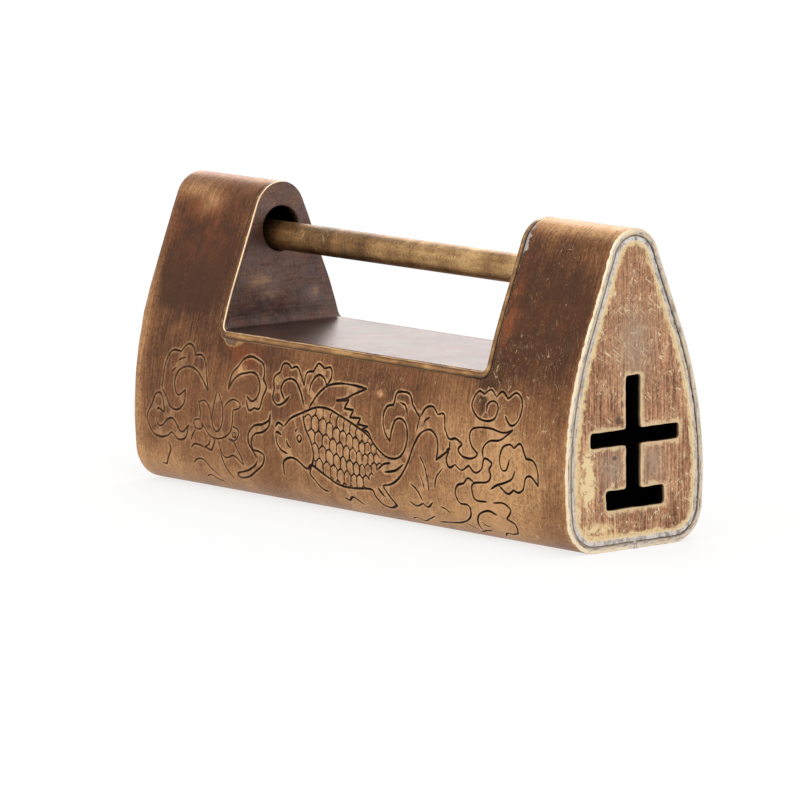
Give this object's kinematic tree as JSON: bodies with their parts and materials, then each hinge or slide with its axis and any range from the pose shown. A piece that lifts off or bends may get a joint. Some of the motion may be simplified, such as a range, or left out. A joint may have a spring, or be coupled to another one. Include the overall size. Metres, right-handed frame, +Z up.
{
  "type": "antique broad lock, a slide-bolt padlock",
  "caption": "Slide-bolt padlock of aged brass: pear-section case with a gap lined by a folded strip, round bar across the gap, pierced keyhole plate and leaf-spring bolt.",
  "frame": {"origin": "centre of the flat bottom that the lock stands on", "axes": "+X along the case to the keyhole end, -Y out of the engraved front, +Z up through the ridge"},
  "size_m": [0.092, 0.0242, 0.0425],
  "materials": {
    "case_sheet": "aged brown patina with fine upright scratches, engraved, worn golden at its edges",
    "gap_lining": "aged brown patina, rubbed bright along its edges",
    "end_plates": "reddish brown patina with filed scratches and worn yellow patches",
    "solder": "dull grey mottled solder",
    "bar": "mottled golden brown, rubbed brighter in bands",
    "springs": "plain aged spring brass"
  },
  "bodies": {
    "case": {"case_shell": "case_sheet", "notch_lining": "gap_lining", "keyhole_plate": "end_plates", "keyhole_plate_solder": "solder", "bottom_seam_solder": "solder", "spring_stop_plate": "end_plates"},
    "bolt": {"bolt_end_plate": "end_plates", "shackle_bar": "bar", "spring_stem_front": "bar", "spring_stem_back": "bar", "leaf_spring_front_top": "springs", "leaf_spring_front_bottom": "springs", "leaf_spring_back_top": "springs", "leaf_spring_back_bottom": "springs", "spring_rivet_front": "springs", "spring_rivet_back": "springs"}
  },
  "joints": [
    {"name": "shackle_slide", "type": "slide", "parent": "case", "child": "bolt", "axis": [-1, 0, 0], "range_m": [0, 0.07], "deforming": ["leaf_spring_front_top", "leaf_spring_front_bottom", "leaf_spring_back_top", "leaf_spring_back_bottom"]}
  ]
}
